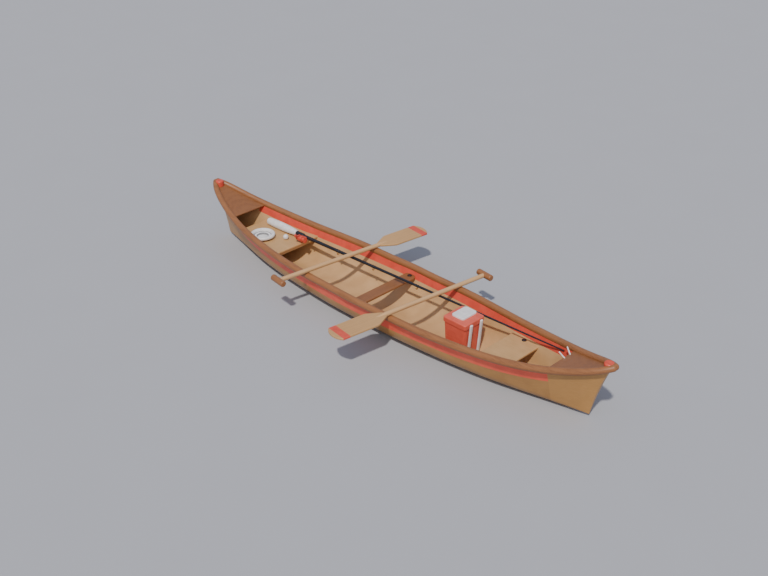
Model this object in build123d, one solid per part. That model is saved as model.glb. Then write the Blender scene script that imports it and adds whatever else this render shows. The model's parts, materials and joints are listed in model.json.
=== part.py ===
"""Fishing canoe: an open two-ended hull with decks, seats and a thwart, and the gear that lies in it.

Everything is in millimetres. +X points to the bow, +Y to port and +Z up, and the origin is on the
floor, under the middle of the flat bottom. A share is a place along the half length, from 0
amidships to 1 at the bow tip and -1 at the stern tip.
"""
from build123d import *
import math
import os

os.makedirs("parts", exist_ok=True)

# Hull form
tip_x = 2420
rail_half_beam = 403
rail_height = 302
tip_rise = 238
plan_power = 2.2
plan_fullness = 0.74
sheer_power = 4.5
stem_top_setback = 12
stem_rake = 154
stem_hollow = 19
stem_overrun = 25
stem_foot_height = 30
bottom_settle = 1.5
stem_half_width = 5
rocker_power = 3
fan_start_share = 0.4
fan_power = 2
hull_wall = 12
floor_wall = 13
edge_below_rail = 8
rail_overhang = 8
inner_edge_below_rail = 6

# Hull sections: station, outer flat, outer bilge radius, inner flat, inner bilge radius,
# the last four as shares of the half width of the section that they belong to
section_shares = [
    (0.00, 0.44, 0.53, 0.180, 0.76),
    (0.26, 0.42, 0.53, 0.170, 0.75),
    (0.50, 0.36, 0.53, 0.150, 0.70),
    (0.71, 0.24, 0.51, 0.110, 0.57),
    (0.86, 0.12, 0.45, 0.070, 0.42),
]
outer_end_shares = [(0.96, 0.06, 0.38), (1.00, 0.30, 0.45)]
inner_end_shares = [(0.94, 0.050, 0.36)]

# Gunwale rails
rail_radius = 32
rail_tip_radius = 28
rail_stations = (0.0, 0.22, 0.43, 0.62, 0.78, 0.90, 0.975, 1.0)
tangent_step_share = 0.01

# The side of the blocks that cut, larger than the boat, and the gap under pieces that rest
block_size = 6000
seat_gap = 0.3

# Decks and tip caps
end_length = 470
bow_deck_length = 478
stern_deck_length = 520
deck_thickness = 8
deck_below_rail = 2
deck_stations = (0.77, 0.83, 0.89, 0.94, 0.985)
cap_radius = 41
cap_barrel = 46
cap_crown = 14
cap_crown_radius = 27
cap_setback = 46
cap_below_rail = 14

# Thwart and seats
thwart_width = 123
thwart_thickness = 22
thwart_below_rail = 52
thwart_corner = 42
plank_round = 6
bow_seat_back_x = 1275
bow_seat_front_x = 1568
bow_seat_below_rail = 67
stern_seat_front_x = -1208
stern_seat_back_x = -1862
stern_seat_below_rail = 62
seat_thickness = 20
seat_lip = 34
bolt_radius = 21
bolt_height = 7
bolt_round = 3
bolt_seat_depth = 1.5
bolt_seat_clearance = 0.5
thwart_bolt_inset = 63
seat_bolt_inset = 82

# Paddles: the blade's shoulder and the grip's end on the plan, in the order x, y
paddle_places = {
    "starboard": ((394, -948), (604, 706)),
    "port": ((-429, 924), (-629, -730)),
}
paddle_shaft_radius = 21
paddle_blade_length = 505
paddle_blade_width = 214
paddle_blade_thickness = 20
paddle_blade_edge_round = 6
paddle_tip_bulge = 42
paddle_neck_width = 64
paddle_neck_taper = 135
paddle_neck_round = 60
paddle_grip_radius = 29
paddle_grip_length = 176
paddle_grip_round = 12

# Fishing rod: its butt and its tip, then sizes along it
rod_butt_setback = 97
rod_butt_y = 121
rod_tip_setback = 578
rod_tip_below_rail = 34
rod_tip_to_wall = 33
rod_butt_radius = 36
rod_axis_height = 38.5
rod_grip_radius = 40
rod_grip_swell = 120
rod_grip_front_radius = 27
rod_butt_round = 30
rod_grip_length = 430
rod_collar_radius = 23
rod_collar_length = 100
rod_collar_round = 6
rod_blank_radius = 17
rod_tip_radius = 6
guide_shares = (0.175, 0.28, 0.41, 0.56, 0.76)
guide_radius = 11
guide_wire = 3.5

# Reel
reel_start = 62
reel_foot_length = 96
reel_foot_width = 20
reel_foot_thickness = 8
reel_stem = 14
reel_body_length = 78
reel_body_width = 42
reel_body_height = 46
reel_body_round = 13
reel_spool_radius = 27
reel_spool_waist_radius = 20
reel_spool_length = 44
reel_spool_flange = 5
reel_crank_arm = 50
reel_crank_rise = 10
reel_crank_radius = 6
reel_knob_radius = 11
reel_knob_length = 26
reel_knob_round = 4

# Cooler box
cooler_x, cooler_y = 934, 12
cooler_length = 240
cooler_width = 240
cooler_foot_share = 0.9
cooler_rim_height = 14
cooler_lid_top = 353
cooler_lid_height = 44
cooler_lid_overhang = 7
cooler_wall = 12
cooler_corner = 24
cooler_lid_round = 8
cooler_groove_depth = 2
cooler_groove_width = 6
cooler_groove_below_lid = 14
cooler_pad_length = 134
cooler_pad_width = 186
cooler_pad_height = 16
cooler_pad_x = -15
cooler_pad_y = 24
cooler_pad_corner = 24
cooler_pad_round = 7
cooler_bar_width = 30
cooler_bar_depth = 18
cooler_bar_length = 308
cooler_bar_y = 64
cooler_bar_lift = 14
cooler_bar_clearance = 6
cooler_bar_round = 8
cooler_bar_end_round = 6
hinge_pin_radius = 4
hinge_knuckle_radius = 8
hinge_running_gap = 0.3
hinge_length = 180
hinge_knuckle_count = 5
lid_side_gap = 3
lid_rest_gap = 0.5
drain_radius = 13
drain_length = 22
drain_cap_radius = 17
drain_cap_length = 9
drain_height = 60
drain_y = -80

# Loose gear on the stern seat
bowl_x, bowl_y = -1570, -113
bowl_radius = 122
bowl_rim = 17
bowl_depth = 50
bowl_wall = 6
bowl_step_radius = 84
bowl_step_height = 24
bowl_foot_radius = 58
bowl_well_radius = 54
float_x, float_y = -1378, 20
float_radius = 26

# Pegs that stand on the bow deck's front edge
peg_radius = 5.5
peg_length = 66
peg_places = (37, 110)
peg_inset = 9
peg_lean = 44
peg_spread = 16
peg_round = 2.5


# Places that follow from the sizes above
stem_top_x = tip_x - stem_top_setback
stem_foot_x = stem_top_x - stem_rake
end_start_x = tip_x - end_length
thwart_top = rail_height - thwart_below_rail
bow_seat_top = rail_height - bow_seat_below_rail
stern_seat_top = rail_height - stern_seat_below_rail


def save(node, *solids):
    """Write one node's solids to its file"""
    shape = solids[0] if len(solids) == 1 else Compound(children=list(solids))
    export_step(shape, "parts/" + node + ".step")


def fullness(share):
    """How wide the plan is at a share: one amidships and zero at the tips"""
    return (1 - abs(share) ** plan_power) ** plan_fullness


def hull_half_width(share):
    """The hull's outer half width at its top edge"""
    middle = rail_half_beam - rail_overhang
    return stem_half_width + (middle - stem_half_width) * fullness(share)


def sheer(share):
    """The height of the rail's centre"""
    return rail_height + tip_rise * abs(share) ** sheer_power


def rail_point(share):
    """The centre of the port rail"""
    return Vector(share * tip_x, hull_half_width(share) + rail_overhang, sheer(share))


def rocker(x):
    """The height of the keel line, which rises to both stems from just below the floor"""
    rise = stem_foot_height + bottom_settle
    return rise * (abs(x) / stem_foot_x) ** rocker_power - bottom_settle


def station_plane(share, floor_gap, top_gap):
    """A section's plane, and the height in it from the keel to the edge

    The planes fan out to the ends, until the last one holds the raked stem line.
    """
    side = 1 if share >= 0 else -1
    fan = max(0, (abs(share) - fan_start_share) / (1 - fan_start_share)) ** fan_power
    top_x = share * stem_top_x
    keel_x = top_x - side * (stem_top_x - stem_foot_x) * fan
    keel = Vector(keel_x, 0, rocker(keel_x) + floor_gap)
    rise = Vector(top_x, 0, sheer(share) + top_gap) - keel
    return Plane(origin=keel, x_dir=(0, 1, 0), z_dir=Vector(0, 1, 0).cross(rise)), rise.length


def section(plane, width, height, flat, radius):
    """A hull section: a flat, two bilge arcs and two straight sides out to the edge"""
    centre_x, centre_y = flat, radius
    reach = math.hypot(width - centre_x, height - centre_y)
    lean = math.atan2(height - centre_y, width - centre_x) - math.acos(radius / reach)
    middle = (lean - math.pi / 2) / 2

    def on_arc(angle, side):
        """A point of one bilge arc"""
        return (side * (centre_x + radius * math.cos(angle)), centre_y + radius * math.sin(angle))

    edges = [Line((-width, height), (width, height)), Line((flat, 0), (-flat, 0))]
    for side in (1, -1):
        edges.append(Line((side * width, height), on_arc(lean, side)))
        edges.append(ThreePointArc(on_arc(lean, side), on_arc(middle, side), (side * flat, 0)))
    return plane * make_face(edges)


def both_ways(rows):
    """Rows of stations from the stern to the bow, mirrored about the middle"""
    stern = [(-row[0],) + tuple(row[1:]) for row in reversed(rows) if row[0] > 0]
    return stern + [tuple(row) for row in rows]


def stem_cutter(side):
    """The space before a stem, whose profile is hollow"""
    foot = Vector(stem_foot_x, stem_foot_height)
    top = Vector(stem_top_x, sheer(1) - edge_below_rail)
    along = (top - foot).normalized()
    foot, top = foot - along * stem_overrun, top + along * stem_overrun
    middle = (foot + top) / 2 + Vector(-along.Y, along.X) * stem_hollow
    before = Vector(stem_rake, 0)
    profile = make_face([ThreePointArc(foot, middle, top), Line(top, top + before),
                         Line(top + before, foot + before), Line(foot + before, foot)])
    cutter = extrude(Plane.XZ * profile, rail_half_beam, both=True)
    return cutter if side > 0 else mirror(cutter, Plane.YZ)


def outer_form():
    """The hull's outside as one closed form"""
    rows = [row[:3] for row in section_shares] + outer_end_shares
    faces = []
    for share, flat, radius in both_ways(rows):
        plane, height = station_plane(share, 0, -edge_below_rail)
        width = hull_half_width(share)
        faces.append(section(plane, width, height, flat * width, radius * width))
    return loft(faces)


def inner_form():
    """The space inside the hull, open at the top"""
    rows = [(row[0],) + row[3:] for row in section_shares] + inner_end_shares
    faces = []
    for share, flat, radius in both_ways(rows):
        plane, height = station_plane(share, floor_wall, -inner_edge_below_rail)
        width = hull_half_width(share) - hull_wall
        faces.append(section(plane, width, height, flat * width, radius * width))
    return loft(faces)


def slab(low_x, high_x):
    """All the space between two stations"""
    return Pos((low_x + high_x) / 2, 0, 0) * Box(high_x - low_x, block_size, block_size)


def rail_loft(side):
    """One gunwale rail with round ends, cut along the middle line where the rails meet"""
    sections = []
    for share in [-s for s in reversed(rail_stations) if s > 0] + list(rail_stations):
        ahead = rail_point(min(share + tangent_step_share, 1))
        behind = rail_point(max(share - tangent_step_share, -1))
        run = ahead - behind
        radius = rail_radius + (rail_tip_radius - rail_radius) * abs(share) ** sheer_power
        plane = Plane(origin=rail_point(share), x_dir=(-run.Y, run.X, 0), z_dir=run)
        sections.append(plane * Circle(radius))
    rail = loft(sections)
    for end in (-1, 1):
        rail = rail + Pos(rail_point(end)) * Sphere(rail_tip_radius)
    rail = rail & Box(block_size, block_size, block_size,
                      align=(Align.CENTER, Align.MIN, Align.CENTER))
    return rail if side > 0 else mirror(rail, Plane.XZ)


def biggest(shape):
    """The largest solid of a cut"""
    return max(shape.solids(), key=lambda solid: solid.volume)


def deck(side, length, cutters):
    """One end deck, which follows the sheer between the rails"""
    top, bottom = [], []
    for share in deck_stations:
        height = sheer(share) - deck_below_rail
        top.append((share * tip_x, height))
        bottom.append((share * tip_x, height - deck_thickness))
    profile = make_face([Polyline(*top, *reversed(bottom), top[0])])
    plate = extrude(Plane.XZ * profile, rail_half_beam, both=True)
    plan = [(share * tip_x, rail_point(share).Y) for share in deck_stations]
    outline = plan + [(x, -y) for x, y in reversed(plan)]
    plan_face = make_face([Polyline(*outline, outline[0])])
    plate = plate & extrude(plan_face, block_size)
    plate = plate & slab(tip_x - length, tip_x)
    if side < 0:
        plate = mirror(plate, Plane.YZ)
    for cutter in cutters:
        plate = plate - cutter
    return biggest(plate)


def tip_cap(side, cutters):
    """The low round button that sits between the rails just before a tip"""
    eighth = math.pi / 4
    shoulder = cap_radius - cap_crown_radius
    half_arc = (cap_crown_radius + shoulder * math.cos(eighth),
                cap_barrel + cap_crown * math.sin(eighth))
    profile = make_face([
        Line((0, 0), (cap_radius, 0)),
        Line((cap_radius, 0), (cap_radius, cap_barrel)),
        ThreePointArc((cap_radius, cap_barrel), half_arc, (cap_crown_radius, cap_barrel + cap_crown)),
        Line((cap_crown_radius, cap_barrel + cap_crown), (0, cap_barrel + cap_crown)),
        Line((0, cap_barrel + cap_crown), (0, 0)),
    ])
    place_x = tip_x - cap_setback
    button = revolve(Plane.XZ * profile, Axis.Z)
    button = Pos(side * place_x, 0, sheer(place_x / tip_x) - cap_below_rail) * button
    for cutter in cutters:
        button = button - cutter
    return biggest(button)


def plank(low_x, high_x, top, thickness, room):
    """A board from side to side, cut to the inside of the hull"""
    board = Box(high_x - low_x, block_size, thickness)
    board = fillet(board.edges().filter_by(Axis.Y), plank_round)
    board = Pos((low_x + high_x) / 2, 0, top - thickness / 2) * board
    return biggest(board & room)


def thwart(room):
    """The middle crosspiece, rounded at its ends where it meets the hull"""
    board = plank(-thwart_width / 2, thwart_width / 2, thwart_top, thwart_thickness, room)
    reach = board.bounding_box().size.Y
    outline = extrude(RectangleRounded(thwart_width, reach, thwart_corner).face(), block_size)
    return biggest(board & outline)


def seat(low_x, high_x, lip_x, top, room):
    """A seat plate with a turned-down lip along one edge"""
    plate = plank(low_x, high_x, top, seat_thickness, room)
    lip = Box(seat_thickness, block_size, seat_lip)
    lip = Pos(lip_x, 0, top - seat_thickness / 2 - seat_lip / 2) * lip
    return biggest(plate + (lip & room))


def spot_face(board, places, top):
    """Cut a shallow round seat into a board for each bolt head"""
    for x, y in places:
        board = board - Pos(x, y, top - bolt_seat_depth) * bar(
            bolt_radius + bolt_seat_clearance, bolt_height)
    return biggest(board)


def bolt_head(x, y, top):
    """A round bolt head that sits in its seat in a board"""
    head = Cylinder(bolt_radius, bolt_height, align=(Align.CENTER, Align.CENTER, Align.MIN))
    head = fillet(head.edges().group_by(Axis.Z)[-1], bolt_round)
    return Pos(x, y, top - bolt_seat_depth) * head


def paddle(side):
    """A paddle's blade, shaft and T-grip, laid level across both rails"""
    (shoulder_x, shoulder_y), (grip_x, grip_y) = paddle_places[side]
    length = math.hypot(grip_x - shoulder_x, grip_y - shoulder_y)
    rail_top = max(sheer(x / tip_x) for x in (shoulder_x, grip_x)) + rail_radius
    place = Plane(origin=(shoulder_x, shoulder_y, rail_top + paddle_shaft_radius + seat_gap),
                  z_dir=(0, 0, 1), x_dir=(grip_x - shoulder_x, grip_y - shoulder_y, 0))
    half_blade, half_neck = paddle_blade_width / 2, paddle_neck_width / 2
    taper_x = paddle_blade_length - paddle_neck_taper
    outline = [
        ThreePointArc((0, half_blade), (-paddle_tip_bulge, 0), (0, -half_blade)),
        Polyline((0, -half_blade), (taper_x, -half_blade), (paddle_blade_length, -half_neck),
                 (paddle_blade_length, half_neck), (taper_x, half_blade), (0, half_blade)),
    ]
    blade = extrude(make_face(outline), paddle_blade_thickness / 2, both=True)
    turns = [edge for edge in blade.edges().filter_by(Axis.Z)
             if abs(edge.center().X - taper_x) < seat_gap]
    blade = fillet(turns, paddle_neck_round)
    faces = blade.faces().sort_by(Axis.Z)
    blade = fillet(faces[0].edges() + faces[-1].edges(), paddle_blade_edge_round)
    shaft_end = length - paddle_grip_radius
    tongue = cone(paddle_blade_edge_round, paddle_shaft_radius, paddle_neck_taper)
    tube = Pos(0, 0, paddle_neck_taper) * bar(paddle_shaft_radius, shaft_end - paddle_blade_length)
    shaft = Pos(taper_x, 0, 0) * (Plane.YZ * (tongue + tube))
    grip = fillet(bar(paddle_grip_radius, paddle_grip_length).edges(), paddle_grip_round)
    grip = Pos(shaft_end, paddle_grip_length / 2, 0) * (Plane.XZ * grip)
    return [place * piece for piece in (biggest(blade - shaft), biggest(shaft - grip), grip)]


def rod_line():
    """The rod's axis: where its butt is, which way it points and how long it is"""
    butt = Vector(stern_seat_back_x + rod_butt_setback, rod_butt_y, stern_seat_top + rod_axis_height)
    end_x = tip_x - rod_tip_setback
    share = end_x / tip_x
    tip = Vector(end_x, hull_half_width(share) - rod_tip_to_wall, sheer(share) - rod_tip_below_rail)
    run = tip - butt
    return butt, run.normalized(), run.length


def along_rod(distance):
    """A plane across the rod, its own x level, at a distance from the butt"""
    butt, run, _ = rod_line()
    return Plane(origin=butt + run * distance, x_dir=(-run.Y, run.X, 0), z_dir=run)


def bar(radius, length):
    """A round bar that stands on its end"""
    return Cylinder(radius, length, align=(Align.CENTER, Align.CENTER, Align.MIN))


def cone(low_radius, high_radius, length):
    """A tapered round bar that stands on its end"""
    return Cone(low_radius, high_radius, length, align=(Align.CENTER, Align.CENTER, Align.MIN))


def rod_pieces():
    """Grip, collar, blank and line guides of the rod"""
    _, _, length = rod_line()
    flat = rod_butt_radius - rod_butt_round
    eighth = math.pi / 4
    round_middle = (flat + rod_butt_round * math.sin(eighth), rod_butt_round * (1 - math.cos(eighth)))
    profile = make_face([
        Line((0, 0), (flat, 0)),
        ThreePointArc((flat, 0), round_middle, (rod_butt_radius, rod_butt_round)),
        ThreePointArc((rod_butt_radius, rod_butt_round), (rod_grip_radius, rod_grip_swell),
                      (rod_grip_front_radius, rod_grip_length)),
        Line((rod_grip_front_radius, rod_grip_length), (0, rod_grip_length)),
        Line((0, rod_grip_length), (0, 0)),
    ])
    grip = revolve(Plane.XZ * profile, Axis.Z)
    collar = fillet(bar(rod_collar_radius, rod_collar_length).edges(), rod_collar_round)
    blank_length = length - rod_grip_length - rod_collar_length
    blank = cone(rod_blank_radius, rod_tip_radius, blank_length)
    pieces = {
        "rod_grip": along_rod(0) * grip,
        "rod_collar": along_rod(rod_grip_length) * collar,
        "rod_blank": along_rod(rod_grip_length + rod_collar_length) * blank,
    }
    guides = []
    for share in guide_shares:
        distance = share * length
        travel = (distance - rod_grip_length - rod_collar_length) / blank_length
        radius = rod_blank_radius + (rod_tip_radius - rod_blank_radius) * travel
        ring = Pos(0, -radius - guide_radius, 0) * Torus(guide_radius, guide_wire)
        guides.append(biggest((along_rod(distance) * ring) - pieces["rod_blank"]))
    pieces["rod_guides"] = guides
    return pieces


def reel_pieces(collar, blank):
    """A spinning reel that lies beside the collar: foot and body, spool, and crank"""
    place = along_rod(rod_grip_length + reel_start) * Rot(0, 0, 180)
    reach = rod_collar_radius + reel_stem
    middle = reach + reel_body_height / 2
    foot = Pos(rod_collar_radius, 0, reel_foot_length / 2) * Box(
        2 * reel_foot_thickness, reel_foot_width, reel_foot_length)
    stem = Pos(rod_collar_radius + reel_stem / 2, 0, reel_foot_length / 2) * Box(
        reel_stem, reel_foot_thickness, reel_foot_width)
    body = Box(reel_body_height, reel_body_width, reel_body_length)
    body = fillet(body.edges(), reel_body_round)
    body = Pos(middle, 0, reel_body_length / 2) * body
    frame = biggest((place * (foot + stem + body)) - collar - blank)
    waist = bar(reel_spool_waist_radius, reel_spool_length)
    flange = bar(reel_spool_radius, reel_spool_flange)
    spool = waist + flange + Pos(0, 0, reel_spool_length - reel_spool_flange) * flange
    spool = Pos(middle, 0, reel_body_length + seat_gap) * spool
    top_y = -reel_body_width / 2 - seat_gap
    shaft = Pos(middle, top_y, reel_body_length / 2) * (
        Plane.XZ * bar(reel_crank_radius, reel_crank_rise))
    arm = Pos(middle + reel_crank_arm / 2, top_y - reel_crank_rise, reel_body_length / 2) * Box(
        reel_crank_arm + 2 * reel_crank_radius, reel_crank_radius, 2 * reel_crank_radius)
    knob = Pos(middle + reel_crank_arm, top_y - reel_crank_rise, reel_body_length / 2) * (
        Plane.XZ * fillet(bar(reel_knob_radius, reel_knob_length).edges(), reel_knob_round))
    return {"reel_body": frame, "reel_spool": place * spool,
            "reel_crank": place * biggest(shaft + arm + knob)}


def rounded_block(low_size, high_size, corner, height):
    """A block with rounded upright edges that may widen upwards"""
    low = RectangleRounded(*low_size, corner)
    high = Pos(0, 0, height) * RectangleRounded(*high_size, corner)
    return loft([low.face(), high.face()])


def floor_under(hull, low, high):
    """The highest point of the hull's floor under an upright footprint"""
    column = Pos((low[0] + high[0]) / 2, (low[1] + high[1]) / 2, 0) * Box(
        high[0] - low[0], high[1] - low[1], rail_height)
    return max(vertex.Z for vertex in (hull & column).vertices())


def cooler_pieces(hull):
    """A cool box whose lid hinges along its stern side, with two upright grips at its bow side"""
    lid_bottom = cooler_lid_top - cooler_lid_height
    rim_top = lid_bottom + cooler_rim_height
    share = cooler_foot_share
    foot_half = (share * cooler_length / 2, share * cooler_width / 2)
    foot_z = seat_gap + floor_under(
        hull, (cooler_x - foot_half[0], cooler_y - foot_half[1]),
        (cooler_x + foot_half[0], cooler_y + foot_half[1]))
    shell = rounded_block((share * cooler_length, share * cooler_width),
                          (cooler_length, cooler_width), cooler_corner, rim_top - foot_z)
    inset = 2 * cooler_wall
    cavity = rounded_block((share * cooler_length - inset, share * cooler_width - inset),
                           (cooler_length - inset, cooler_width - inset),
                           cooler_corner - cooler_wall, rim_top - foot_z)
    groove_size = (cooler_length + cooler_groove_width, cooler_width + cooler_groove_width)
    waist_size = (cooler_length - 2 * cooler_groove_depth, cooler_width - 2 * cooler_groove_depth)
    groove = (rounded_block(groove_size, groove_size, cooler_corner, cooler_groove_width)
              - rounded_block(waist_size, waist_size, cooler_corner, cooler_groove_width))
    groove_z = lid_bottom - cooler_groove_below_lid - cooler_groove_width - foot_z
    shell = shell - Pos(0, 0, groove_z) * groove
    body = Pos(cooler_x, cooler_y, foot_z) * (shell - Pos(0, 0, cooler_wall) * cavity)
    lid_size = (cooler_length + 2 * cooler_lid_overhang, cooler_width + 2 * cooler_lid_overhang)
    lid = rounded_block(lid_size, lid_size, cooler_corner, cooler_lid_height)
    lid = fillet(lid.edges().group_by(Axis.Z)[-1], cooler_lid_round)
    rim_size = (cooler_length + 2 * lid_side_gap, cooler_width + 2 * lid_side_gap)
    rim_space = rounded_block(rim_size, rim_size, cooler_corner, cooler_rim_height + lid_rest_gap)
    lid = Pos(cooler_x, cooler_y, lid_bottom) * (lid - rim_space)
    pad_size = (cooler_pad_length, cooler_pad_width)
    pad = rounded_block(pad_size, pad_size, cooler_pad_corner, cooler_pad_height)
    pad = fillet(pad.edges().group_by(Axis.Z)[-1], cooler_pad_round)
    pad = Pos(cooler_x + cooler_pad_x, cooler_y + cooler_pad_y, cooler_lid_top) * pad
    pin_x = cooler_x - cooler_length / 2 - cooler_lid_overhang - hinge_knuckle_radius - seat_gap
    pin_z = lid_bottom
    pin = Pos(pin_x, cooler_y, pin_z) * (Plane.XZ * Cylinder(hinge_pin_radius, hinge_length))
    bore = Pos(pin_x, cooler_y, pin_z) * (
        Plane.XZ * Cylinder(hinge_pin_radius + hinge_running_gap, block_size))
    knuckles = {"lid": [], "body": []}
    step = hinge_length / hinge_knuckle_count
    for number in range(hinge_knuckle_count):
        owner = "lid" if number % 2 else "body"
        middle_y = cooler_y + (2 * number + 1 - hinge_knuckle_count) * step / 2
        web_width = step - 2 * hinge_running_gap
        barrel = Pos(pin_x, middle_y, pin_z) * (
            Plane.XZ * Cylinder(hinge_knuckle_radius, web_width))
        if owner == "lid":
            web = Box(hinge_knuckle_radius + cooler_lid_overhang, web_width, hinge_knuckle_radius,
                      align=(Align.MIN, Align.CENTER, Align.MIN))
        else:
            web = Box(hinge_knuckle_radius + 2 * cooler_lid_overhang, web_width,
                      hinge_knuckle_radius, align=(Align.MIN, Align.CENTER, Align.MAX))
        knuckles[owner].append(barrel + Pos(pin_x, middle_y, pin_z) * web)
    for web in knuckles["lid"]:
        lid = lid + web
    for web in knuckles["body"]:
        body = body + web
    room = Pos(cooler_x, cooler_y, foot_z + cooler_wall) * cavity
    body = biggest(body - bore - room)
    lid = biggest(lid - bore)
    grips = []
    foot_x = cooler_x + foot_half[0]
    top_x = cooler_x + cooler_length / 2 + cooler_lid_overhang + cooler_bar_clearance
    lean = math.degrees(math.atan2(top_x - foot_x, cooler_bar_length))
    bar_size = (cooler_bar_depth, cooler_bar_width)
    for side in (-1, 1):
        grip = rounded_block(bar_size, bar_size, cooler_bar_round, cooler_bar_length)
        grip = fillet(grip.edges().group_by(Axis.Z)[-1], cooler_bar_end_round)
        grip = Pos(foot_x + cooler_bar_depth / 2, cooler_y + side * cooler_bar_y,
                   foot_z + cooler_bar_lift) * (Rot(0, lean, 0) * grip)
        grips.append(biggest(grip - body))
    stub = Cylinder(drain_radius, 2 * drain_length)
    stub = stub + Pos(0, 0, -drain_length) * Cylinder(drain_cap_radius, drain_cap_length)
    drain = Pos(cooler_x - foot_half[0], cooler_y + drain_y, foot_z + drain_height) * (
        Plane.YZ * stub)
    drain = biggest(drain - body - room)
    return {"cooler_body": body, "cooler_lid": lid, "cooler_lid_pad": pad, "cooler_grips": grips,
            "cooler_hinge_pin": pin, "cooler_drain": drain}


def bowl():
    """A stepped round bowl with a thick rolled rim"""
    rim_y = bowl_depth - bowl_rim
    rim_middle = bowl_radius - bowl_rim
    outline = [(0, 0), (bowl_foot_radius, 0), (rim_middle, rim_y), (rim_middle - bowl_rim, rim_y),
               (bowl_step_radius, bowl_step_height), (bowl_foot_radius, bowl_step_height),
               (bowl_well_radius, bowl_wall), (0, bowl_wall), (0, 0)]
    dish = revolve(Plane.XZ * make_face([Polyline(*outline)]), Axis.Z)
    ring = Pos(0, 0, rim_y) * Torus(rim_middle, bowl_rim)
    return Pos(bowl_x, bowl_y, stern_seat_top) * biggest(dish + ring)


def pegs(plate):
    """Two short pegs that stand on the bow deck's front edge, leaning aft and apart"""
    pieces = []
    foot_x = tip_x - bow_deck_length + peg_inset
    foot_z = sheer(foot_x / tip_x) - deck_below_rail
    for y, side in zip(peg_places, (-1, 1)):
        run = Vector(-peg_lean, side * peg_spread, peg_lean).normalized()
        plane = Plane(origin=Vector(foot_x, y, foot_z) - run * deck_thickness, z_dir=run)
        peg = fillet(bar(peg_radius, peg_length + deck_thickness).edges(), peg_round)
        pieces.append(biggest((plane * peg) - plate))
    return pieces


def main():
    """Make every piece and write its file"""
    outer, inner = outer_form(), inner_form()
    under_floor = Box(block_size, block_size, block_size,
                      align=(Align.CENTER, Align.CENTER, Align.MAX))
    whole = outer - inner - under_floor - stem_cutter(1) - stem_cutter(-1)
    rails = {"port": rail_loft(1) - whole, "starboard": rail_loft(-1) - whole}
    fixed = [rails["port"], rails["starboard"], whole]
    save("hull", biggest(whole & slab(-end_start_x, end_start_x)))
    save("bow_end", biggest(whole & slab(end_start_x, block_size)))
    save("stern_end", biggest(whole & slab(-block_size, -end_start_x)))
    for side, rail in rails.items():
        save("gunwale_" + side, biggest(rail))
    decks = {"bow": deck(1, bow_deck_length, fixed), "stern": deck(-1, stern_deck_length, fixed)}
    for name, side in (("bow", 1), ("stern", -1)):
        save(name + "_deck", decks[name])
        save(name + "_cap", tip_cap(side, fixed + [decks[name]]))
    bolt_y = hull_half_width(0) - thwart_bolt_inset
    places = [(0, -bolt_y), (0, bolt_y)]
    save("thwart", spot_face(thwart(inner), places, thwart_top))
    save("thwart_bolts", *[bolt_head(x, y, thwart_top) for x, y in places])
    seat_middle = (bow_seat_back_x + bow_seat_front_x) / 2
    bolt_y = hull_half_width(seat_middle / tip_x) - seat_bolt_inset
    places = [(seat_middle, -bolt_y), (seat_middle, bolt_y)]
    bow_seat = seat(bow_seat_back_x, bow_seat_front_x, bow_seat_back_x + seat_thickness,
                    bow_seat_top, inner)
    save("bow_seat", spot_face(bow_seat, places, bow_seat_top))
    save("seat_bolts", *[bolt_head(x, y, bow_seat_top) for x, y in places])
    save("stern_seat", seat(stern_seat_back_x, stern_seat_front_x,
                            stern_seat_front_x - seat_thickness, stern_seat_top, inner))
    for side in paddle_places:
        blade, shaft, grip = paddle(side)
        save("paddle_blade_" + side, blade)
        save("paddle_shaft_" + side, shaft)
        save("paddle_grip_" + side, grip)
    rod = rod_pieces()
    save("rod_guides", *rod.pop("rod_guides"))
    reel = reel_pieces(rod["rod_collar"], rod["rod_blank"])
    cooler = cooler_pieces(whole)
    save("cooler_grips", *cooler.pop("cooler_grips"))
    for node, piece in {**rod, **reel, **cooler}.items():
        save(node, piece)
    save("bailing_bowl", bowl())
    save("float_ball", Pos(float_x, float_y, stern_seat_top + float_radius) * Sphere(float_radius))
    save("bow_pegs", *pegs(decks["bow"]))


main()
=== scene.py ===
"""The looks of the fishing canoe: materials, small pieces, floor, light and camera. Metres."""

import json
import math

import bpy
from mathutils import Matrix, Vector


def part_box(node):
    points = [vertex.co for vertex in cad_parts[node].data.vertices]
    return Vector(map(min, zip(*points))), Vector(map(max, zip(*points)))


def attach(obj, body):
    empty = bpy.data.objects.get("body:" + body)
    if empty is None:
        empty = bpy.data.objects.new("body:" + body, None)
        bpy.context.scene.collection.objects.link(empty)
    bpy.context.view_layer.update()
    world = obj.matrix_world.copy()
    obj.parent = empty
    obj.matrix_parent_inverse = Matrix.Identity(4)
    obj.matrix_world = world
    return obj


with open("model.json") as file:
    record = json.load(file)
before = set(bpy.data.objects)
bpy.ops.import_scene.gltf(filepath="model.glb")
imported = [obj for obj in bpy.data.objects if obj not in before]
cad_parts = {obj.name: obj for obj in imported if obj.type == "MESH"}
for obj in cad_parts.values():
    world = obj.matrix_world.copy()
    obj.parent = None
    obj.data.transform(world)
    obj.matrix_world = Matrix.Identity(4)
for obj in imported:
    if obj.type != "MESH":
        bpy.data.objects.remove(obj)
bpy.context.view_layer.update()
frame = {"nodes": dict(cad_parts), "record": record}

# Camera, light and floor
CAMERA_AT = (5.824, -5.824, 4.911)
CAMERA_LOOKS_AT = (0, 0, 0.251)
CAMERA_LENS = 49.455
SENSOR_WIDTH = 36
SUN_FROM = (3.2, -5, 8.05)
SUN_ENERGY = 3.15
SUN_ANGLE = 0.045
SUN_COLOUR = (1, 0.95, 0.88)
FILL_FROM = (5.8, -5.8, 4.9)
FILL_ENERGY = 0.42
FILL_ANGLE = 0.5
SKY_STRENGTH = 0.56
SKY_COLOUR = (0.66, 0.72, 0.92)
FLOOR_HALF = 40
FLOOR_DROP = 0.0005
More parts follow.
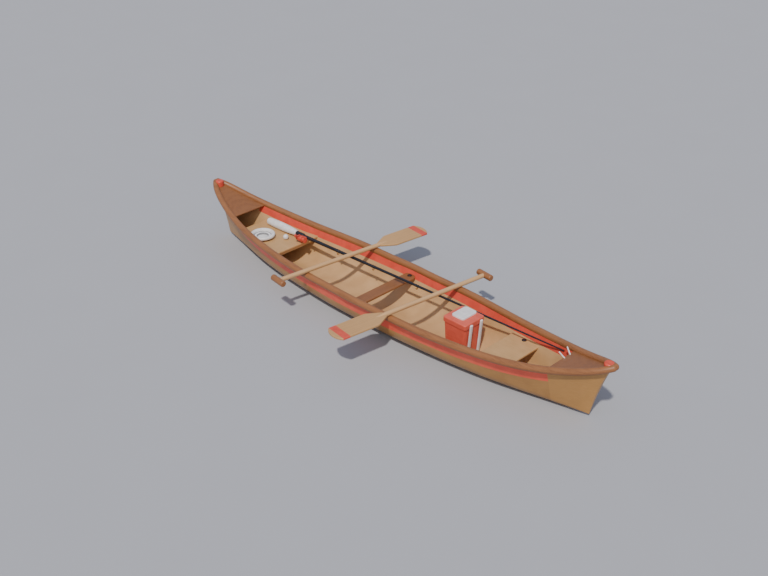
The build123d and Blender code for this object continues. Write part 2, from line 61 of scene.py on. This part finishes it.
FLOOR_COLOUR = (0.40, 0.41, 0.44)

# The hull's lines: the rail's centre rises to both tips, and the stripe follows it
TIP_X = 2.42
RAIL_HEIGHT = 0.302
TIP_RISE = 0.238
SHEER_POWER = 4.5
OUTER_STRIPE_DEPTH = 0.131
INNER_STRIPE_DEPTH = 0.081

# Paddles: the blade's shoulder and the grip's end on the plan
PADDLE_PLACES = {
    "starboard": (Vector((0.394, -0.948, 0)), Vector((0.604, 0.706, 0))),
    "port": (Vector((-0.429, 0.924, 0)), Vector((-0.629, -0.730, 0))),
}
BAND_WIDTH = 0.070

# Painted shade: dark rings in the bowl's steps, where their shadows fall
BOWL_SHADE_RADII = (0.056, 0.082)
BOWL_SHADE_WIDTH = 0.007

# Thread wraps beside each line guide
WRAP_LENGTH = 0.014
WRAP_GAP = 0.005
WRAP_HEIGHT = 0.0012
WRAP_TURNS = 6
WRAP_SIDES = 32
GUIDE_SPACING = 0.08
END_REACH = 0.008

# Colours
OCHRE = (0.41, 0.205, 0.058)
OCHRE_DARK = (0.35, 0.168, 0.045)
TAN = (0.57, 0.345, 0.160)
TAN_DARK = (0.50, 0.290, 0.126)
BLADE_TAN = (0.51, 0.290, 0.115)
BLADE_TAN_DARK = (0.46, 0.255, 0.098)
# Painted shade: the seats are the interior's tan made darker, against the extra light on their flat tops
SEAT_TAN_SHADED = (0.53, 0.315, 0.138)
SEAT_TAN_SHADED_DARK = (0.485, 0.285, 0.118)
BROWN = (0.29, 0.116, 0.040)
BROWN_DARK = (0.19, 0.070, 0.023)
DECK_BROWN = (0.245, 0.096, 0.032)
DECK_BROWN_DARK = (0.17, 0.064, 0.021)
RED = (0.68, 0.080, 0.044)
RED_DARK = (0.58, 0.062, 0.033)
# Painted light: the outer stripe's red is paler than the inner RED, to make up for the rail's shadow on
# the hull side
OUTER_STRIPE_LIT_RED = (0.84, 0.110, 0.054)
OUTER_STRIPE_LIT_RED_DARK = (0.74, 0.092, 0.044)
BOX_RED = (0.70, 0.115, 0.070)
BOX_RED_DARK = (0.62, 0.095, 0.056)
WHITE = (0.77, 0.76, 0.755)
WHITE_DARK = (0.67, 0.66, 0.655)
# Painted shade for the creases of the bowl's steps
STEP_SHADE = (0.10, 0.10, 0.115)
BOLT_BLACK = (0.016, 0.016, 0.018)
BOLT_BLACK_DARK = (0.010, 0.010, 0.012)
ROD_BLACK = (0.016, 0.018, 0.025)
ROD_BLACK_DARK = (0.009, 0.010, 0.014)
BRASS = (0.52, 0.33, 0.12)
BRASS_DARK = (0.38, 0.22, 0.07)
STEEL = (0.58, 0.58, 0.60)
STEEL_DARK = (0.42, 0.42, 0.43)

# Where a blend over noise reaches its darker and its paler colour
LOW_STOP = 0.36
HIGH_STOP = 0.62

# Moulded plastic: noise scales are in cycles per metre, and reliefs in metres
PEBBLE_SCALE = 260.0
PEBBLE_DETAIL = 2.0
SCUFF_STRETCH = (3.0, 40.0, 40.0)
SCUFF_SCALE = 1.6
SCUFF_DETAIL = 8.0
SCUFF_ROUGHNESS = 0.7
SCUFF_RANGE = (-1.5, 1.9)
SCUFF_STRENGTH = 0.30
PLASTIC_MOTTLE = 9.0
PALE_GAIN = 1.25
PALE_LIFT = 0.03
SKIN_RELIEF = 0.00025
SKIN_ROUGHNESS = (0.36, 0.56)
BOWL_ROUGHNESS = (0.32, 0.50)
BOWL_MOTTLE = 20.0
# How strongly the painted shade rings darken the bowl
BOWL_SHADE_STRENGTH = 0.75
HULL_MOTTLE = 5.0
STRIPE_MOTTLE = 11.0
ROOM_THRESHOLD = 0.1
END_GAIN = 1.12

# Sealed wood: fine fibres, broad rings and slow changes of tone along the board
FIBRE_SCALE = 190.0
FIBRE_DETAIL = 7.0
FIBRE_ROUGHNESS = 0.62
GRAIN_STRETCH = 0.07
RING_SCALE = 14.0
RING_DISTORTION = 5.0
RING_DETAIL = 3.0
RING_DETAIL_SCALE = 2.2
BOARD_SCALE = 3.2
BOARD_DETAIL = 2.0
FIBRE_SHARE = 0.62
RING_SHARE = 0.10
BOARD_SHARE = 0.28
GRAIN_STOPS = (0.30, 0.50, 0.74)
GRAIN_PALE_GAIN = 1.14
GRAIN_ROUGHNESS = (0.36, 0.56)
GRAIN_RELIEF = 0.0005
BAND_MOTTLE = 24.0

# Metal
LINE_STRETCH = (8.0, 1.0, 1.0)
LINE_SCALE = 150.0
LINE_DETAIL = 5.0
DULL_SCALE = 35.0
DULL_STOPS = (0.35, 0.65)
LINE_RELIEF = 0.0001

# The clear coats
WOOD_COAT = 0.12
WOOD_COAT_ROUGHNESS = 0.3
HULL_COAT = 0.15
BLADE_COAT = 0.2
COAT_ROUGHNESS = 0.25

# How much smoother and rougher than its middle value a plastic and a metal get
PLASTIC_SPREAD = (0.08, 0.10)
METAL_SPREAD = (0.08, 0.14)

# Thread wraps: outline points in each turn, and how fast the turns rise at both ends
WRAP_STEPS = 4
WRAP_FADE = 6

# Floor
FLOOR_ROUGHNESS = 0.9
FLOOR_SCALE = 1.5
FLOOR_STOPS = (0.3, 0.7)
FLOOR_DARK_GAIN = 0.985


class Nodes:
    """A short way to write a material's nodes"""

    def __init__(self, name, **sockets):
        self.material = bpy.data.materials.new(name)
        self.material.use_nodes = True
        self.tree = self.material.node_tree
        self.shader = self.tree.nodes["Principled BSDF"]
        for socket, value in sockets.items():
            self.shader.inputs[socket.replace("_", " ")].default_value = value

    def feed(self, socket, value):
        """Link a socket to another one, or set its value"""
        if isinstance(value, bpy.types.NodeSocket):
            self.tree.links.new(value, socket)
        else:
            socket.default_value = value

    def add(self, kind, inputs=None, **settings):
        """A node with its settings and inputs"""
        node = self.tree.nodes.new(kind)
        for name, value in settings.items():
            setattr(node, name, value)
        for name, value in (inputs or {}).items():
            self.feed(node.inputs[name], value)
        return node

    def sum(self, operation, *values):
        """One step of arithmetic"""
        node = self.add("ShaderNodeMath", operation=operation)
        for socket, value in zip(node.inputs, values):
            self.feed(socket, value)
        return node.outputs[0]

    def place(self):
        """The place on the surface, in metres"""
        return self.add("ShaderNodeTexCoord").outputs["Object"]

    def noise(self, place, scale, detail=4.0, roughness=0.5):
        """Soft noise between 0 and 1"""
        return self.add("ShaderNodeTexNoise", {
            "Vector": place, "Scale": scale, "Detail": detail, "Roughness": roughness}).outputs["Fac"]

    def ramp(self, value, stops):
        """A blend of colours or greys over a value"""
        node = self.add("ShaderNodeValToRGB", {"Fac": value})
        elements = node.color_ramp.elements
        while len(elements) < len(stops):
            elements.new(stops[-1][0])
        for element, (at, colour) in zip(elements, stops):
            element.position = at
            element.color = (*colour, 1)
        return node.outputs["Color"]

    def mix(self, share, low, high):
        """One colour where the share is 0 and the other where it is 1"""
        node = self.add("ShaderNodeMix", data_type="RGBA")
        colours = [socket for socket in node.inputs if socket.type == "RGBA"]
        self.feed(node.inputs["Factor"], share)
        for socket, value in zip(colours, (low, high)):
            self.feed(socket, value if isinstance(value, bpy.types.NodeSocket) else (*value, 1))
        return next(socket for socket in node.outputs if socket.type == "RGBA")

    def finish(self, colour, roughness, height, relief):
        """Give the shader its colour, roughness and relief, in metres"""
        bump = self.add("ShaderNodeBump", {"Height": height, "Strength": 1.0, "Distance": relief})
        self.feed(self.shader.inputs["Base Color"], colour)
        self.feed(self.shader.inputs["Roughness"], roughness)
        self.feed(self.shader.inputs["Normal"], bump.outputs["Normal"])
        return self.material

    def between(self, value, low, high):
        """Turn a value of 0 to 1 into one of low to high"""
        return self.add("ShaderNodeMapRange", {
            "Value": value, "To Min": low, "To Max": high}).outputs["Result"]


def moulded(nodes, colour_low, colour_high, scale):
    """Moulded plastic: broad soft mottling, a fine pebbled skin and faint scuffs"""
    place = nodes.place()
    broad = nodes.noise(place, scale)
    pebble = nodes.noise(place, PEBBLE_SCALE, PEBBLE_DETAIL)
    drawn = nodes.add("ShaderNodeMapping", {"Vector": place, "Scale": SCUFF_STRETCH}).outputs["Vector"]
    scuff = nodes.noise(drawn, SCUFF_SCALE, SCUFF_DETAIL, SCUFF_ROUGHNESS)
    colour = nodes.ramp(broad, [(LOW_STOP, colour_low), (HIGH_STOP, colour_high)])
    worn = nodes.sum("MULTIPLY", nodes.between(scuff, *SCUFF_RANGE), SCUFF_STRENGTH)
    pale = tuple(min(1, PALE_GAIN * channel + PALE_LIFT) for channel in colour_high)
    return nodes.mix(nodes.sum("MAXIMUM", worn, 0.0), colour, pale), pebble, scuff


def plastic(name, low, high, roughness, scale=PLASTIC_MOTTLE):
    """A plain moulded plastic"""
    nodes = Nodes(name)
    colour, pebble, scuff = moulded(nodes, low, high, scale)
    smoother, rougher = PLASTIC_SPREAD
    gloss = nodes.between(scuff, roughness - smoother, roughness + rougher)
    return nodes.finish(colour, gloss, pebble, SKIN_RELIEF)


def bowl_plastic(name):
    """The bowl's white plastic, with rings of painted shade in its steps"""
    nodes = Nodes(name)
    colour, pebble, scuff = moulded(nodes, WHITE_DARK, WHITE, BOWL_MOTTLE)
    low, high = (Vector(corner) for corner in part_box("bailing_bowl"))
    middle = (low + high) / 2
    away = nodes.add("ShaderNodeVectorMath", operation="DISTANCE")
    level = nodes.add("ShaderNodeVectorMath", {0: nodes.place(), 1: (1, 1, 0)}, operation="MULTIPLY")
    nodes.feed(away.inputs[0], level.outputs["Vector"])
    nodes.feed(away.inputs[1], (middle.x, middle.y, 0))
    # Rings of painted shade at the bowl's steps
    for radius in BOWL_SHADE_RADII:
        line = nodes.sum("COMPARE", away.outputs["Value"], radius, BOWL_SHADE_WIDTH / 2)
        colour = nodes.mix(nodes.sum("MULTIPLY", line, BOWL_SHADE_STRENGTH), colour, STEP_SHADE)
    return nodes.finish(colour, nodes.between(scuff, *BOWL_ROUGHNESS), pebble, SKIN_RELIEF)


def wood_grain(nodes, turn, low, high):
    """Sealed wood with its grain along a direction on the plan: colour, roughness and height"""
    place = nodes.add("ShaderNodeMapping", {
        "Vector": nodes.place(), "Rotation": (0, 0, -turn)}).outputs["Vector"]
    along = nodes.add("ShaderNodeMapping", {
        "Vector": place, "Scale": (GRAIN_STRETCH, 1, 1)}).outputs["Vector"]
    fibre = nodes.noise(along, FIBRE_SCALE, FIBRE_DETAIL, FIBRE_ROUGHNESS)
    figure = nodes.add("ShaderNodeTexWave", {
        "Vector": along, "Scale": RING_SCALE, "Distortion": RING_DISTORTION,
        "Detail": RING_DETAIL, "Detail Scale": RING_DETAIL_SCALE},
        wave_type="RINGS", rings_direction="X").outputs["Fac"]
    board = nodes.noise(place, BOARD_SCALE, BOARD_DETAIL)
    tone = nodes.sum("ADD", nodes.sum("MULTIPLY", fibre, FIBRE_SHARE),
                     nodes.sum("MULTIPLY", figure, RING_SHARE))
    tone = nodes.sum("ADD", tone, nodes.sum("MULTIPLY", board, BOARD_SHARE))
    pale = tuple(GRAIN_PALE_GAIN * channel for channel in high)
    colour = nodes.ramp(tone, list(zip(GRAIN_STOPS, (low, high, pale))))
    return colour, nodes.between(fibre, *GRAIN_ROUGHNESS), fibre


def wood(name, low, high, turn=0.0):
    """Sealed wood"""
    nodes = Nodes(name, Coat_Weight=WOOD_COAT, Coat_Roughness=WOOD_COAT_ROUGHNESS)
    colour, roughness, height = wood_grain(nodes, turn, low, high)
    return nodes.finish(colour, roughness, height, GRAIN_RELIEF)


def stripe(nodes, room):
    """1 in the band below the rail, which follows the sheer and is deeper outside, or 0"""
    x, _, z = nodes.add("ShaderNodeSeparateXYZ", {"Vector": nodes.place()}).outputs
    share = nodes.sum("DIVIDE", nodes.sum("ABSOLUTE", x), TIP_X)
    rise = nodes.sum("MULTIPLY", nodes.sum("POWER", share, SHEER_POWER), TIP_RISE)
    depth = nodes.sum("SUBTRACT", nodes.sum("ADD", rise, RAIL_HEIGHT), z)
    reach = nodes.between(room, OUTER_STRIPE_DEPTH, INNER_STRIPE_DEPTH)
    return nodes.sum("LESS_THAN", depth, reach)


def inside(nodes):
    """1 on the surfaces that face the room in the hull, and 0 on the outside"""
    _, y, _ = nodes.add("ShaderNodeSeparateXYZ", {"Vector": nodes.place()}).outputs
    normal = nodes.add("ShaderNodeTexCoord").outputs["Normal"]
    _, normal_y, normal_z = nodes.add("ShaderNodeSeparateXYZ", {"Vector": normal}).outputs
    outward = nodes.sum("MULTIPLY", nodes.sum("SIGN", y), normal_y)
    return nodes.sum("GREATER_THAN", nodes.sum("SUBTRACT", normal_z, outward), ROOM_THRESHOLD)


def hull_plastic(name, outer_low, outer_high, striped):
    """The hull: ochre outside, tan inside, and a red stripe below the rail where it has one; outside, the
    stripe's red is paler than inside, as painted light
    """
    nodes = Nodes(name, Coat_Weight=HULL_COAT, Coat_Roughness=COAT_ROUGHNESS)
    colour, pebble, scuff = moulded(nodes, outer_low, outer_high, HULL_MOTTLE)
    room = inside(nodes)
    lining = nodes.ramp(nodes.noise(nodes.place(), HULL_MOTTLE), [(LOW_STOP, TAN_DARK), (HIGH_STOP, TAN)])
    colour = nodes.mix(room, colour, lining)
    if striped:
        grey = nodes.noise(nodes.place(), STRIPE_MOTTLE)
        # Painted light: the outer side of the stripe gets the paler red
        outer_lit_red = nodes.ramp(grey, [(LOW_STOP, OUTER_STRIPE_LIT_RED_DARK), (HIGH_STOP, OUTER_STRIPE_LIT_RED)])
        inner = nodes.ramp(grey, [(LOW_STOP, RED_DARK), (HIGH_STOP, RED)])
        colour = nodes.mix(stripe(nodes, room), colour, nodes.mix(room, outer_lit_red, inner))
    return nodes.finish(colour, nodes.between(scuff, *SKIN_ROUGHNESS), pebble, SKIN_RELIEF)


def paddle_turn(side):
    """The direction of a paddle on the plan, as an angle from the x axis"""
    shoulder, end = PADDLE_PLACES[side]
    return math.atan2(end.y - shoulder.y, end.x - shoulder.x)


def blade_wood(name, side):
    """A paddle blade's wood, with a red band across it inward from the shoulder"""
    nodes = Nodes(name, Coat_Weight=BLADE_COAT, Coat_Roughness=COAT_ROUGHNESS)
    colour, roughness, height = wood_grain(nodes, paddle_turn(side), BLADE_TAN_DARK, BLADE_TAN)
    shoulder, end = PADDLE_PLACES[side]
    run = (end - shoulder).normalized()
    travel = nodes.add("ShaderNodeVectorMath", operation="DOT_PRODUCT")
    nodes.feed(travel.inputs[0], nodes.place())
    nodes.feed(travel.inputs[1], tuple(run))
    middle = shoulder.dot(run) + BAND_WIDTH / 2
    band = nodes.sum("COMPARE", travel.outputs["Value"], middle, BAND_WIDTH / 2)
    grey = nodes.noise(nodes.place(), BAND_MOTTLE)
    paint = nodes.ramp(grey, [(LOW_STOP, RED_DARK), (HIGH_STOP, RED)])
    return nodes.finish(nodes.mix(band, colour, paint), roughness, height, GRAIN_RELIEF)


def metal(name, low, high, roughness, metallic=1.0):
    """Metal with fine drawn lines and dull patches"""
    nodes = Nodes(name, Metallic=metallic)
    place = nodes.place()
    drawn = nodes.add("ShaderNodeMapping", {"Vector": place, "Scale": LINE_STRETCH}).outputs["Vector"]
    lines = nodes.noise(drawn, LINE_SCALE, LINE_DETAIL)
    colour = nodes.ramp(nodes.noise(place, DULL_SCALE), list(zip(DULL_STOPS, (low, high))))
    smoother, rougher = METAL_SPREAD
    gloss = nodes.between(lines, roughness - smoother, roughness + rougher)
    return nodes.finish(colour, gloss, lines, LINE_RELIEF)


materials = {
    "hull_shell": hull_plastic("hull_shell", OCHRE_DARK, OCHRE, striped=True),
    "hull_end": hull_plastic("hull_end", OCHRE, tuple(END_GAIN * c for c in OCHRE), striped=False),
    "rail_brown": wood("rail_brown", BROWN_DARK, BROWN),
    "deck_brown": wood("deck_brown", DECK_BROWN_DARK, DECK_BROWN),
    "thwart_brown": wood("thwart_brown", DECK_BROWN_DARK, DECK_BROWN, math.pi / 2),
    "cap_red": plastic("cap_red", RED_DARK, RED, roughness=0.38, scale=30.0),
    # Painted shade: the seats' tan is darker than the interior's
    "seat_tan": plastic("seat_tan", SEAT_TAN_SHADED_DARK, SEAT_TAN_SHADED, roughness=0.50),
    "bolt_black": plastic("bolt_black", BOLT_BLACK_DARK, BOLT_BLACK, roughness=0.42, scale=60.0),
    "paddle_tan_starboard": wood("paddle_tan_starboard", TAN_DARK, TAN, paddle_turn("starboard")),
    "paddle_tan_port": wood("paddle_tan_port", TAN_DARK, TAN, paddle_turn("port")),
    "blade_starboard": blade_wood("blade_starboard", "starboard"),
    "blade_port": blade_wood("blade_port", "port"),
    "grip_starboard": wood("grip_starboard", BROWN_DARK, BROWN, paddle_turn("starboard") + math.pi / 2),
    "grip_port": wood("grip_port", BROWN_DARK, BROWN, paddle_turn("port") + math.pi / 2),
    "white_plastic": plastic("white_plastic", WHITE_DARK, WHITE, roughness=0.40, scale=20.0),
    "rod_black": metal("rod_black", ROD_BLACK_DARK, ROD_BLACK, roughness=0.36, metallic=0.0),
    "guide_metal": metal("guide_metal", BRASS_DARK, BRASS, roughness=0.28),
    "reel_red": plastic("reel_red", RED_DARK, RED, roughness=0.32, scale=40.0),
    "cooler_red": plastic("cooler_red", BOX_RED_DARK, BOX_RED, roughness=0.42, scale=14.0),
    "bowl_white": bowl_plastic("bowl_white"),
    "pin_steel": metal("pin_steel", STEEL_DARK, STEEL, roughness=0.30),
}
OWN_MATERIALS = {
    "bow_end": "hull_end", "stern_end": "hull_end", "bailing_bowl": "bowl_white",
    "bow_deck": "deck_brown", "stern_deck": "deck_brown", "thwart": "thwart_brown",
    "paddle_blade_starboard": "blade_starboard", "paddle_blade_port": "blade_port",
    "paddle_shaft_starboard": "paddle_tan_starboard", "paddle_shaft_port": "paddle_tan_port",
    "paddle_grip_starboard": "grip_starboard", "paddle_grip_port": "grip_port",
}


def dress_nodes():
    """Give each CAD node its material"""
    for part in frame["record"]["subparts"]:
        name = part["node"]
        node = frame["nodes"][name]
        node.data.materials.clear()
        node.data.materials.append(materials[OWN_MATERIALS.get(name, part["material_slot"])])


def piece(name, mesh, material, body):
    """A new piece that rides on a body"""
    made = bpy.data.objects.new(name, mesh)
    bpy.context.scene.collection.objects.link(made)
    mesh.materials.append(materials[material])
    for face in mesh.polygons:
        face.use_smooth = True
    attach(made, body)
    return made


def rod_axis():
    """The rod blank's two end centres and end radii, measured on its mesh"""
    points = [vertex.co for vertex in frame["nodes"]["rod_blank"].data.vertices]
    rings = []
    for choose in (min, max):
        far = choose(point.x for point in points)
        rings.append([point for point in points if abs(point.x - far) < END_REACH])
    start, tip = [sum(ring, Vector()) / len(ring) for ring in rings]
    run = (tip - start).normalized()
    ends = []
    for middle, ring in zip((start, tip), rings):
        ends.append((middle, max((point - middle).cross(run).length for point in ring)))
    return ends


def guide_places(start, run):
    """How far along the rod each line guide is"""
    travels = sorted((vertex.co - start).dot(run)
                     for vertex in frame["nodes"]["rod_guides"].data.vertices)
    groups = [[travels[0]]]
    for travel in travels[1:]:
        if travel - groups[-1][-1] > GUIDE_SPACING:
            groups.append([])
        groups[-1].append(travel)
    return [(group[0] + group[-1]) / 2 for group in groups]


def wrap_mesh(name, place, radius):
    """Closed turns of thread round the rod, which taper off at both ends"""
    steps = WRAP_STEPS * WRAP_TURNS
    outline = []
    for step in range(steps + 1):
        share = step / steps
        fade = min(1, WRAP_FADE * share, WRAP_FADE * (1 - share))
        ridge = (1 + abs(math.sin(math.pi * WRAP_TURNS * share))) / 2
        outline.append(((share - 1 / 2) * WRAP_LENGTH, radius + WRAP_HEIGHT * fade * ridge))
    outline.append((WRAP_LENGTH / 2, radius - WRAP_HEIGHT))
    outline.append((-WRAP_LENGTH / 2, radius - WRAP_HEIGHT))
    points, faces = [], []
    for side in range(WRAP_SIDES):
        angle = 2 * math.pi * side / WRAP_SIDES
        for travel, reach in outline:
            points.append(place @ Vector((reach * math.cos(angle), reach * math.sin(angle), travel)))
    rows = len(outline)
    for side in range(WRAP_SIDES):
        here, ahead = side * rows, (side + 1) % WRAP_SIDES * rows
        for row in range(rows):
            after = (row + 1) % rows
            faces.append((here + row, ahead + row, ahead + after, here + after))
    mesh = bpy.data.meshes.new(name)
    mesh.from_pydata(points, [], faces)
    return mesh


def add_wraps():
    """A thread wrap on each side of every line guide"""
    (start, start_radius), (tip, tip_radius) = rod_axis()
    length = (tip - start).length
    run = (tip - start).normalized()
    turn = run.to_track_quat("Z", "Y").to_matrix().to_4x4()
    number = 0
    for travel in guide_places(start, run):
        for side in (-1, 1):
            number += 1
            at = travel + side * (WRAP_GAP + WRAP_LENGTH / 2)
            radius = start_radius + (tip_radius - start_radius) * at / length
            place = Matrix.Translation(start + run * at) @ turn
            name = "rod_wrap_%02d" % number
            piece(name, wrap_mesh(name, place, radius), "rod_black", "root")


def aim(thing, place, target):
    """Put a camera or light at a place and turn it to a target"""
    thing.location = place
    thing.rotation_euler = (Vector(target) - Vector(place)).to_track_quat("-Z", "Y").to_euler()


def add_camera():
    """The photograph's camera"""
    data = bpy.data.cameras.new("camera")
    data.sensor_width = SENSOR_WIDTH
    data.lens = CAMERA_LENS
    camera = bpy.data.objects.new("camera", data)
    bpy.context.scene.collection.objects.link(camera)
    aim(camera, CAMERA_AT, CAMERA_LOOKS_AT)
    bpy.context.scene.camera = camera


def add_light():
    """A key light from the photograph's side, a weak wide fill and a pale sky"""
    for name, place, energy, angle in (("key", SUN_FROM, SUN_ENERGY, SUN_ANGLE),
                                       ("fill", FILL_FROM, FILL_ENERGY, FILL_ANGLE)):
        data = bpy.data.lights.new(name, "SUN")
        data.energy = energy
        data.color = SUN_COLOUR
        data.angle = angle
        light = bpy.data.objects.new(name, data)
        bpy.context.scene.collection.objects.link(light)
        aim(light, place, (0, 0, 0))
    world = bpy.data.worlds.new("sky")
    bpy.context.scene.world = world
    world.use_nodes = True
    background = world.node_tree.nodes["Background"]
    background.inputs["Color"].default_value = (*SKY_COLOUR, 1)
    background.inputs["Strength"].default_value = SKY_STRENGTH


def add_floor():
    """A plain pale floor just under the hull"""
    half = FLOOR_HALF
    mesh = bpy.data.meshes.new("floor")
    mesh.from_pydata([(-half, -half, 0), (half, -half, 0), (half, half, 0), (-half, half, 0)],
                     [], [(0, 1, 2, 3)])
    floor = bpy.data.objects.new("floor", mesh)
    bpy.context.scene.collection.objects.link(floor)
    floor.location.z = -FLOOR_DROP
    nodes = Nodes("floor", Roughness=FLOOR_ROUGHNESS)
    darker = tuple(FLOOR_DARK_GAIN * channel for channel in FLOOR_COLOUR)
    mottle = nodes.noise(nodes.place(), FLOOR_SCALE)
    tone = nodes.ramp(mottle, list(zip(FLOOR_STOPS, (darker, FLOOR_COLOUR))))
    nodes.feed(nodes.shader.inputs["Base Color"], tone)
    mesh.materials.append(nodes.material)


dress_nodes()
add_wraps()
add_floor()
add_camera()
add_light()
